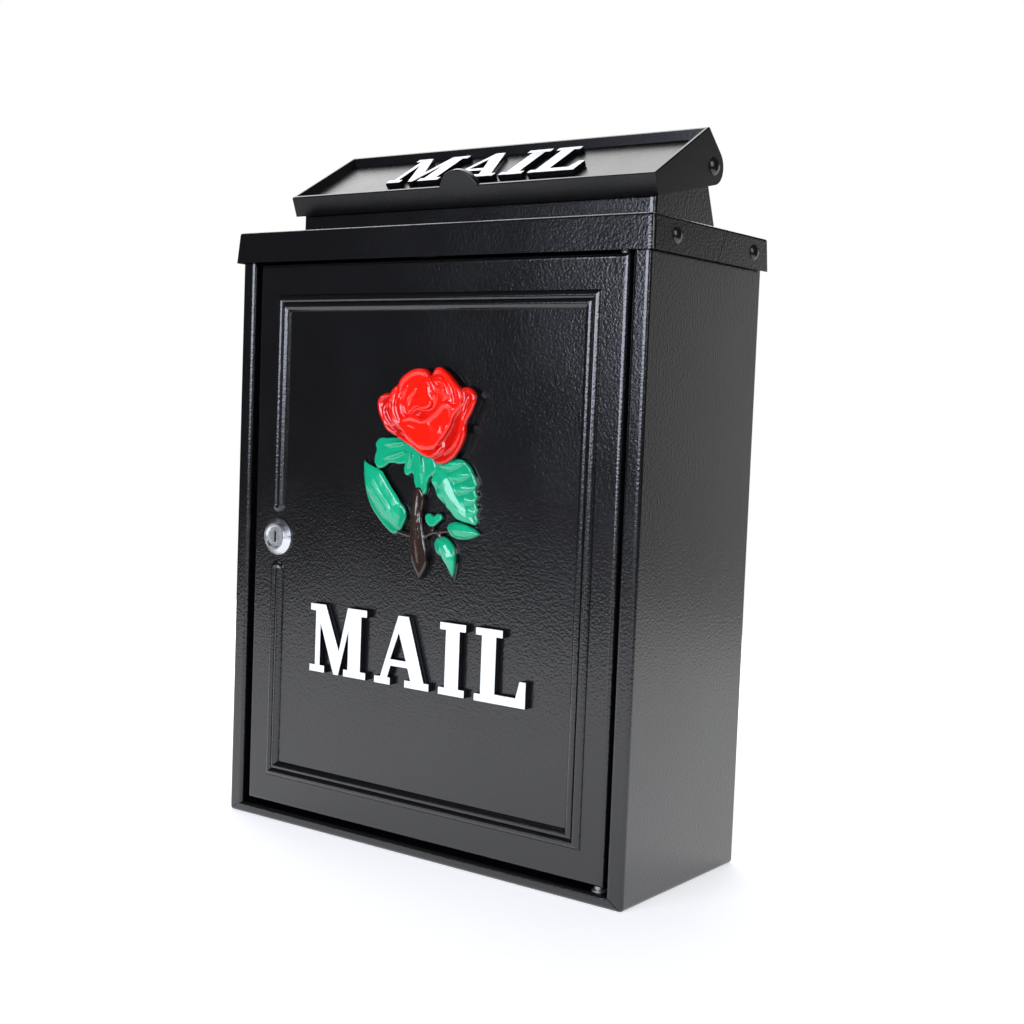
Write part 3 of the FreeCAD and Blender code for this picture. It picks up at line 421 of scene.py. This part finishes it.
def drawn_out_door():
    """Door with the solid's form, its folded edges drawn out towards the case."""
    mesh = frame["nodes"]["door_panel"].data.copy()
    door = bpy.data.objects.new("pressed_door", mesh)
    bpy.context.collection.objects.link(door)
    only(door)
    bpy.ops.mesh.customdata_custom_splitnormals_clear()
    bpy.ops.object.mode_set(mode="EDIT")
    bpy.ops.mesh.select_all(action="SELECT")
    bpy.ops.mesh.remove_doubles(threshold=DOOR_WELD * MM)
    low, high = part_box("door_panel")
    moves = ((0, low.x, -DOOR_DRAW_LOCK), (0, high.x, DOOR_DRAW_HINGE),
             (2, low.z, -DOOR_DRAW_BOTTOM), (2, high.z, DOOR_DRAW_TOP))
    for axis, edge, reach in moves:
        bpy.ops.mesh.select_all(action="DESELECT")
        bpy.ops.object.mode_set(mode="OBJECT")
        for vertex in mesh.vertices:
            vertex.select = abs(vertex.co[axis] - edge) < DOOR_RIM * MM
        bpy.ops.object.mode_set(mode="EDIT")
        bpy.ops.transform.translate(value=[reach * MM if i == axis else 0 for i in range(3)])
    bpy.ops.object.mode_set(mode="OBJECT")
    bpy.ops.object.shade_smooth_by_angle(angle=math.radians(DOOR_CREASE))
    modified(door, "WEIGHTED_NORMAL", keep_sharp=True, weight=100)
    return door


door = drawn_out_door()
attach(door, "door")
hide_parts("door_panel")


# Painted rose

def petal(outline, rim, root, layer, lip):
    """Petal slab with a fillet at its foot and a rolled lip along part of its outline.

    Its face falls from the place rim to the place root.
    layer is the number of steps by which it stands over the outermost petals.
    lip is (first, last), the outline's points along which the lip runs.
    """
    height = BLOOM_HEIGHT + layer * PETAL_STEP
    slab = tilted(flat_slab("petal", [outline], -ROSE_ROOT, height, ROSE_ROUND), rim, root, height,
                  height - PETAL_DIP)
    foot = flat_slab("foot", [outline], -ROSE_ROOT, ROSE_FOOT, ROSE_FOOT / 2, grow=ROSE_FOOT)
    count = len(outline)
    edge = [outline[i % count] for i in range(lip[0], lip[1] + 1)]
    middle = Vector((sum(x for x, z in outline) / count, sum(z for x, z in outline) / count))
    along = Vector((root[0] - rim[0], root[1] - rim[1]))
    points = []
    for spot in edge:
        inset = Vector(spot) + (middle - Vector(spot)).normalized() * LIP_RADIUS
        share = (inset - Vector(rim)).dot(along) / along.length_squared
        points.append((inset.x, inset.y, height - PETAL_DIP * share - FOLD_SINK))
    return [slab, foot, soft_rod("lip", points, LIP_RADIUS)]


def fold(layer, points):
    """Soft ridge on the face of a petal."""
    height = BLOOM_HEIGHT + layer * PETAL_STEP - FOLD_SINK
    return soft_rod("fold", [(x, z, height) for x, z in points], FOLD_RADIUS)


def bloom():
    """Flower head: petals, roughly from the outermost inwards, their folds and the front petal's belly."""
    pieces = []
    pieces += petal([(-20, 112.5), (-27.5, 110), (-28, 103), (-25, 96), (-20, 90), (-12, 87.5), (-5, 90),
                     (-8, 100), (-13, 110)], (-27, 100), (-8, 102), 0, (0, 5))
    pieces += petal([(33, 116.5), (38, 117), (43, 113.5), (41.5, 106), (37.5, 98), (36.8, 90), (31.5, 80),
                     (24, 74.2), (17, 73), (12, 76), (14, 84), (24, 92), (29, 106)],
                    (38, 90), (20, 94), 0, (0, 9))
    pieces += petal([(-14, 88), (-7, 85), (0, 81), (8, 77.5), (16, 77), (22, 83), (16, 90), (2, 92),
                     (-8, 93)],
                    (4, 78), (6, 92), 0.4, (0, 5))
    pieces += petal([(-15, 116.5), (-19.5, 109), (-18.5, 100), (-13, 93), (-6, 92), (-2, 100), (-4, 112),
                     (-10, 118.5)], (-19, 104), (-5, 104), 1, (-1, 4))
    pieces += petal([(12, 124.5), (16, 128), (22, 125.5), (29, 119.5), (34, 114), (33, 104), (24, 100),
                     (14, 106), (11, 116)], (29, 119), (16, 106), 1, (0, 6))
    pieces += petal([(-11, 119), (-5, 124.5), (3, 127), (9, 125.5), (11.5, 121), (10, 110), (3, 100),
                     (-7, 98), (-12, 106)], (-7, 122), (5, 106), 2, (-2, 5))
    pieces += petal([(-10, 97), (-6, 88.5), (2, 83.5), (9, 81.5), (17, 83.5), (24, 90), (29, 100), (27, 108),
                     (18, 103), (8, 98.5), (-2, 99.5)], (9, 99), (9, 81), 2.4, (6, 11))
    pieces += petal([(13, 121), (21, 121.5), (26.5, 114), (27.5, 105), (21, 101), (12, 106)],
                    (25, 116), (14, 106), 2, (0, 3))
    pieces += petal([(-8, 98), (2, 92), (14, 94), (24, 104), (20, 116), (6, 119), (-6, 112)],
                    (20, 112), (4, 98), 1.4, (3, 5))
    pieces += petal([(8, 121), (13.5, 121), (17, 112), (12, 104), (5, 107)], (13, 120), (9, 105), 2.8, (0, 3))
    pieces += petal([(-4, 101.5), (2, 104.5), (9, 104), (15, 107.5), (13, 112), (6, 112), (-1, 109)],
                    (14, 108), (-2, 104), 3.2, (1, 4))
    pieces += [fold(0, [(-20, 108), (-23.5, 103), (-22, 98), (-17, 93)]),
               fold(1, [(-14, 114), (-16, 107), (-15, 100), (-11.5, 95.5)]),
               fold(2, [(-5, 117), (-9, 109), (-8.5, 102), (-5, 98)]),
               fold(2, [(1, 115), (-4, 109), (-3.5, 103)]),
               fold(2.4, [(8.5, 121), (11, 116.5), (12.5, 112), (17, 110.5)]),
               fold(2.2, [(18, 119.5), (22, 115), (23.5, 110)]),
               fold(1, [(27, 119), (32, 111), (29.5, 103), (27, 97)]),
               fold(0.2, [(38, 112), (35.5, 104), (34, 95), (30, 85), (22, 79)]),
               fold(0.6, [(-10, 90.5), (-2, 86), (7, 82.5), (15, 82)])]
    front = BLOOM_HEIGHT + 2.0 * PETAL_STEP
    pieces += [fold(2.0, [(-6, 95), (-1, 94.5), (4, 92), (6, 88)]),
               fold(1.8, [(26, 99), (24.5, 93), (20, 87.5)]),
               dome([(-4, 94), (6, 90), (14, 90), (22, 96)], BELLY_RADIUS, BELLY_HEIGHT, front)]
    return sculpted(pieces, "bloom", red_enamel, passes=4)


def leaf(outline, rib, swell, lobes=()):
    """Pointed leaf that swells towards its midrib; lobes are soft ridges from the midrib to the edge."""
    pieces = [flat_slab("leaf", [outline], -ROSE_ROOT, LEAF_EDGE, ROSE_ROUND),
              flat_slab("foot", [outline], -ROSE_ROOT, ROSE_FOOT, ROSE_FOOT / 2, grow=ROSE_FOOT),
              dome(rib, swell, LEAF_RIDGE - LEAF_EDGE, LEAF_EDGE)]
    end = LEAF_EDGE - VEIN_SINK
    heights = [end] + [LEAF_RIDGE - VEIN_SINK] * (len(rib) - 2) + [end]
    pieces.append(soft_rod("midrib", [(x, z, high) for (x, z), high in zip(rib, heights)], VEIN_RADIUS))
    pieces += [dome(points, LOBE_RADIUS, LOBE_HEIGHT, LEAF_EDGE) for points in lobes]
    return pieces


def ruff(outline, ribs):
    """Sepal or small leaf with a scalloped outline and raised ribs, each from its start to its end."""
    pieces = [flat_slab("sepal", [outline], -ROSE_ROOT, LEAF_EDGE + SEPAL_RAISE, ROSE_ROUND),
              flat_slab("foot", [outline], -ROSE_ROOT, ROSE_FOOT, ROSE_FOOT / 2, grow=ROSE_FOOT)]
    for start, end in ribs:
        middle = [(a + b) / 2 for a, b in zip(start, end)]
        crest = [(*start, LEAF_RIDGE), (*middle, LEAF_EDGE + RIB_RISE), (*end, LEAF_EDGE - RIB_SINK)]
        pieces.append(soft_rod("rib", crest, VEIN_RADIUS * RIB_SWELL))
    return pieces


def leaves():
    """Four leaves, two sepals under the bloom and a small heart-shaped leaf on a twig."""
    pieces = leaf([(-42, 72.5, 1), (-36, 65), (-31, 60.8), (-25, 58), (-19, 54), (-13, 49), (-8.8, 45),
                   (-8, 40.5), (-10, 36), (-12.5, 31.5, 1), (-17, 30), (-23, 33), (-30, 39), (-36, 46),
                   (-39.5, 53.5), (-41.5, 62)],
                  [(-41, 71), (-33, 61), (-26, 52.5), (-19, 44.5), (-13.5, 34)], swell=8.5)
    pieces += leaf([(12, 72), (20, 75), (27, 76.2), (32, 76), (36.5, 73.5), (40.3, 69), (43.8, 62.5, 1),
                    (42.4, 60), (44.4, 55.5, 1), (43, 52.8), (45, 48, 1), (43.8, 45.4), (45, 42.5),
                    (43.2, 39.2, 1), (38, 41), (33, 43), (28, 45), (23, 48.5), (18, 51.5),
                    (14, 56), (12, 62), (10.8, 68)],
                   [(13, 72), (20, 63), (26, 53.5), (33, 46.5), (42.5, 40)], swell=5.5,
                   lobes=[[(15, 72), (24, 72.5), (34, 74)], [(20, 66), (30, 66.5), (40, 68.5)],
                          [(24, 59.5), (33, 59.5), (42, 60.5)], [(29, 53.5), (36, 53), (43, 53)],
                          [(34, 48), (39, 47), (43.5, 46.5)], [(16, 69), (14, 63), (14.5, 58)],
                          [(20, 62), (18, 56), (20, 51.5)], [(26, 54), (25, 50), (28, 46.5)]])
    pieces += leaf([(23, 37), (27, 40.2), (32, 40.4), (38, 39), (43, 37.2), (47, 34.6, 1), (42, 32.2),
                    (35, 30.6), (29, 31), (25, 33)],
                   [(24, 35.6), (30, 36), (37, 35.6), (46, 34.7)], swell=4.0)
    pieces += leaf([(14.5, 28.5), (17.5, 31), (21.5, 31.2), (25.5, 29), (28.8, 24.5), (29.8, 18),
                    (29.2, 12), (28.2, 8, 1), (25.5, 13.5), (22.5, 17), (19, 19.5), (15.5, 22), (14.2, 25)],
                   [(16.5, 29.5), (21, 25.5), (25.5, 19.5), (28, 9.5)], swell=4.5)
    pieces += ruff([(-30, 85.5), (-32.6, 82), (-31.8, 79), (-33, 75), (-32.6, 70.4), (-29, 68),
                    (-25.5, 69), (-22, 71.2), (-18, 71.6), (-14, 71.2), (-8, 73), (-3, 80),
                    (-14, 86), (-24, 86.2)],
                   [((-8, 79), (-30, 73)), ((-9, 84), (-29, 82))])
    pieces += ruff([(-9.5, 72), (-10, 67), (-7.5, 64.8), (-4, 66.5), (-2, 61), (1, 56), (5, 54.3), (7, 57),
                    (8, 63), (14, 70), (6, 80), (-6, 80)], [((-4, 78), (-7.5, 67)), ((3, 77), (4.5, 57))])
    pieces += ruff([(7, 42), (9.5, 44), (13.2, 42.6), (16.5, 44.3), (19.5, 42.5), (16.5, 39), (12, 36.3),
                    (8.5, 38)], [])
    return sculpted(pieces, "leaves", green_enamel, passes=3)


def stem():
    """Pointed stem with two ridges of bark, and its twigs."""
    outline = [(-0.4, 58), (-2, 48), (-3.1, 38), (-3.4, 26), (-1.6, 16), (4.5, 5.2, 1), (9, 13), (9.3, 20),
               (7, 30), (4.8, 42), (3.8, 58)]
    pieces = [flat_slab("stem", [outline], -ROSE_ROOT, STEM_HEIGHT - BARK_RISE,
                        ROSE_ROUND * STEM_SOFTER),
              soft_rod("bark", [(1.5, 57, 4), (1, 42, 4.2), (2, 28, 4.2), (4, 12, 3.6)], radius=1.6),
              soft_rod("bark", [(3.2, 52, 3.6), (3.6, 38, 3.8), (6, 22, 3.6)], radius=1.1)]
    twigs = [[(0, 29.5), (-7, 30.5), (-14, 31.8)], [(3, 27), (11, 32.5), (18, 34), (25, 35)],
             [(16, 33.8), (17.5, 32), (19, 29.5)], [(11, 32.5), (12, 35), (12.5, 38)]]
    for points in twigs:
        line = [(x, z, TWIG_HEIGHT - TWIG_RADIUS) for x, z in points]
        pieces.append(soft_rod("twig", line, TWIG_RADIUS, ends=0.9))
    return sculpted(pieces, "stem", stem_enamel, passes=3)


def sculpted(pieces, name, finish, passes):
    """Join loose forms into one smooth casting, stood up on the door and trimmed flush with its face."""
    casting = joined(pieces, name)
    modified(casting, "REMESH", mode="VOXEL", voxel_size=CLAY_GRAIN * MM)
    modified(casting, "SMOOTH", factor=0.5, iterations=passes)
    only(casting)
    bpy.ops.object.mode_set(mode="EDIT")
    bpy.ops.mesh.select_all(action="SELECT")
    bpy.ops.mesh.bisect(plane_co=(0, 0, 0), plane_no=(0, 0, 1), clear_inner=True, use_fill=True)
    bpy.ops.object.mode_set(mode="OBJECT")
    casting.data.materials.clear()
    casting.data.materials.append(finish)
    casting.data.transform(Matrix.Rotation(math.pi / 2, 4, "X"))
    casting.data.transform(Matrix.Translation((0, DOOR_FACE, BASE + ROSE_ZERO * MM)))
    bpy.ops.object.shade_smooth()
    return casting


rose = joined([bloom(), leaves(), stem()], "painted_rose")
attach(rose, "door")
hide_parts("rose_ornament")


# Letters

def slab_i():
    """Upright stroke with slab serifs, from its left edge."""
    s, h = SERIF, LETTER_HEIGHT
    stroke_right = s + STROKE_THICK
    right = stroke_right + s
    return [(0, 0), (right, 0), (right, s), (stroke_right, s), (stroke_right, h - s), (right, h - s),
            (right, h), (0, h), (0, h - s), (s, h - s), (s, s), (0, s)]


def letter_outlines():
    """Slab-serif letters as (outlines, width), in millimetres from the lower left."""
    h, t, n, s = LETTER_HEIGHT, STROKE_THICK, STROKE_THIN, SERIF
    foot = n + 2 * s - 1
    m_width = 46.0
    m_right = m_width - s - t
    m = [(0, 0), (foot, 0), (foot, s), (s + n - 0.5, s), (s + n - 0.5, h - 12), (m_width / 2 - 3, 0),
         (m_width / 2 + 1, 0), (m_right, h - 14), (m_right, s), (m_right - s + 1, s), (m_right - s + 1, 0),
         (m_width, 0), (m_width, s), (m_right + t, s), (m_right + t, h - s), (m_width, h - s), (m_width, h),
         (m_right - 1, h), (m_width / 2 + 1, 15), (s + t - 2, h), (0, h), (0, h - s), (s, h - s), (s, s),
         (0, s)]
    a_width = 42.0
    a = [(0, 0), (foot, 0), (foot, s), (s + n + 1.2, s), (s + n + 3.6, 11.5), (25.5, 11.5), (28, s),
         (23.5, s), (23.5, 0), (a_width, 0), (a_width, s), (a_width - s + 0.5, s), (25.5, h), (17.5, h),
         (s + 0.2, s), (0, s)]
    hole = [(12.2, 15.5), (18.2, 31.5), (24.2, 15.5)]
    i_width = t + 2 * s
    l_width = 36.0
    l = [(0, 0), (l_width, 0), (l_width, 15), (l_width - s, 15), (l_width - s - 2.5, s + 1), (s + t, s + 1),
         (s + t, h - s), (2 * s + t, h - s), (2 * s + t, h), (0, h), (0, h - s), (s, h - s), (s, s), (0, s)]
    return [("M", [m], m_width), ("A", [a, hole], a_width), ("I", [slab_i()], i_width), ("L", [l], l_width)]


def raised_letter(name, outlines, depth, place, body):
    """One letter with a white face and black sides, put in place by a matrix from its flat drawing."""
    letter = flat_slab(name, outlines, 0, depth, LETTER_ROUND, smooth=False)
    letter.data.materials.append(black_paint)
    letter.data.materials.append(white_paint)
    only(letter)
    bpy.ops.object.mode_set(mode="EDIT")
    bpy.ops.mesh.select_all(action="SELECT")
    bpy.ops.mesh.remove_doubles(threshold=LETTER_WELD * MM)
    bpy.ops.mesh.normals_make_consistent(inside=False)
    bpy.ops.object.mode_set(mode="OBJECT")
    for face in letter.data.polygons:
        face.material_index = int(face.normal.z > WHITE_FROM)
    letter.data.transform(place)
    bpy.ops.object.shade_smooth_by_angle(angle=math.radians(LETTER_CREASE))
    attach(letter, body)


def word(prefix, scale, middle, gap, depth, place, body):
    """All letters in a row about its middle, each a piece of its own."""
    letters = letter_outlines()
    total = sum(width for name, outlines, width in letters) * scale + gap * (len(letters) - 1)
    x = middle - total / 2
    for name, outlines, width in letters:
        spots = [[(x + px * scale, pz * scale) for px, pz in outline] for outline in outlines]
        raised_letter(prefix + name, spots, depth, place, body)
        x += width * scale + gap


door_place = (Matrix.Translation((0, DOOR_FACE, BASE + DOOR_LETTER_BASE * MM))
              @ Matrix.Rotation(math.pi / 2, 4, "X"))
word("door_letter_", 1.0, DOOR_LETTER_MIDDLE, DOOR_LETTER_GAP, LETTER_DEPTH, door_place, "door")

slope = Matrix.Rotation(math.radians(LID_TILT), 4, "X")
panel_foot = LID_AXIS + slope.to_3x3() @ Vector(
    (0, LID_LETTER_ALONG - PIVOT_ALONG, PIVOT_BELOW - LID_RECESS)) * MM
lid_place = Matrix.Translation(panel_foot) @ slope
word("lid_letter_", LID_LETTER_SCALE, 0, LID_LETTER_GAP, LID_LETTER_DEPTH, lid_place, "lid")


# Studio

def photo_camera():
    """Camera with the photograph's place, angles and lens."""
    data = bpy.data.cameras.new("photo_camera")
    data.lens = CAMERA_LENS
    data.sensor_width = SENSOR_WIDTH
    camera = bpy.data.objects.new("photo_camera", data)
    bpy.context.scene.collection.objects.link(camera)
    azimuth, elevation, roll = (math.radians(v) for v in (CAMERA_AZIMUTH, CAMERA_ELEVATION, CAMERA_ROLL))
    back = Vector((math.sin(azimuth) * math.cos(elevation), -math.cos(azimuth) * math.cos(elevation),
                   math.sin(elevation)))
    right = (-back).cross(Vector((0, 0, 1))).normalized()
    up = right.cross(-back)
    across = right * math.cos(roll) + up * math.sin(roll)
    upward = up * math.cos(roll) - right * math.sin(roll)
    turn = Matrix((across, upward, back)).transposed()
    camera.matrix_world = Matrix.Translation(CAMERA_PLACE) @ turn.to_4x4()
    bpy.context.scene.camera = camera


def softbox(name, azimuth, elevation, distance, width, height, watts, target, tint):
    """Rectangular softbox that faces a target; azimuth 0 is in front of the door, and turns to the right."""
    data = bpy.data.lights.new(name, "AREA")
    data.shape = "RECTANGLE"
    data.size = width
    data.size_y = height
    data.energy = watts
    data.color = linear(tint)[:3]
    lamp = bpy.data.objects.new(name, data)
    bpy.context.scene.collection.objects.link(lamp)
    a, e = math.radians(azimuth), math.radians(elevation)
    away = Vector((math.sin(a) * math.cos(e), -math.cos(a) * math.cos(e), math.sin(e)))
    lamp.location = Vector(target) + away * distance
    lamp.rotation_euler = away.to_track_quat("Z", "Y").to_euler()


def white_floor():
    """Pale table top: it keeps the object's shadow near by, and turns white towards its edges."""
    bpy.ops.object.select_all(action="DESELECT")
    bpy.ops.mesh.primitive_plane_add(size=FLOOR_SIZE, location=(0, FLOOR_MIDDLE, BASE))
    floor = bpy.context.object
    floor.name = "pale_floor"
    material, tree = new_material("pale_studio_floor")
    path = add(tree, "ShaderNodeLightPath")
    place = add(tree, "ShaderNodeTexCoord").outputs["Object"]
    reach = add(tree, "ShaderNodeVectorMath", {0: place}, operation="LENGTH")
    lift = add(tree, "ShaderNodeMapRange", {
        "Value": reach.outputs["Value"], "From Min": FLOOR_NEAR[0], "From Max": FLOOR_FAR[0],
        "To Min": FLOOR_NEAR[1], "To Max": FLOOR_FAR[1]})
    seen = add(tree, "ShaderNodeMath", {0: path.outputs["Is Camera Ray"], 1: lift.outputs[0]},
               operation="MULTIPLY")
    mirrored = add(tree, "ShaderNodeMath", {0: path.outputs["Is Glossy Ray"],
                                            1: path.outputs["Is Transmission Ray"]}, operation="MAXIMUM")
    glow = add(tree, "ShaderNodeMath", {0: seen.outputs[0], 1: mirrored.outputs[0]}, operation="MAXIMUM")
    paint = add(tree, "ShaderNodeBsdfDiffuse", {"Color": linear("#ebebeb")})
    light = add(tree, "ShaderNodeEmission", {"Strength": glow.outputs[0]})
    both = add(tree, "ShaderNodeAddShader", {0: paint.outputs[0], 1: light.outputs[0]})
    add(tree, "ShaderNodeOutputMaterial", {"Surface": both.outputs[0]})
    floor.data.materials.append(material)


def studio_world():
    """White to the camera; to the object a dim room with a white backdrop behind, as its shine shows."""
    world = bpy.data.worlds.new("studio")
    bpy.context.scene.world = world
    world.use_nodes = True
    tree = world.node_tree
    tree.nodes.clear()
    path = add(tree, "ShaderNodeLightPath")
    way = add(tree, "ShaderNodeSeparateXYZ", {0: add(tree, "ShaderNodeTexCoord").outputs["Generated"]})
    behind = add(tree, "ShaderNodeMapRange", {
        "Value": way.outputs["Y"], "From Min": BACKDROP_SIDE[0], "From Max": BACKDROP_SIDE[1]})
    low = add(tree, "ShaderNodeMapRange", {
        "Value": way.outputs["Z"], "From Min": BACKDROP_TOP[0], "From Max": BACKDROP_TOP[1],
        "To Min": 1.0, "To Max": 0.0})
    backdrop = add(tree, "ShaderNodeMath", {0: behind.outputs[0], 1: low.outputs[0]}, operation="MULTIPLY")
    room = add(tree, "ShaderNodeMath", {0: backdrop.outputs[0], 1: ROOM_LIGHT}, operation="MAXIMUM")
    level = add(tree, "ShaderNodeMath", {0: path.outputs["Is Camera Ray"], 1: room.outputs[0]},
                operation="MAXIMUM")
    air = add(tree, "ShaderNodeBackground", {"Color": (1, 1, 1, 1), "Strength": level.outputs[0]})
    add(tree, "ShaderNodeOutputWorld", {"Surface": air.outputs[0]})


photo_camera()
softbox("window_softbox", azimuth=7, elevation=12, distance=1.65, width=1.9, height=0.55, watts=38,
        target=(0, -0.12, 0.02), tint="#e6ecff")
softbox("right_softbox", azimuth=76, elevation=24, distance=1.7, width=0.5, height=1.0, watts=7,
        target=(0, -0.1, 0.02), tint="#ffffff")
softbox("overhead_softbox", azimuth=224, elevation=44, distance=1.5, width=1.9, height=1.5, watts=26,
        target=(0, -0.06, 0.2), tint="#ffffff")
white_floor()
studio_world()
bpy.context.scene.view_settings.view_transform = "Standard"
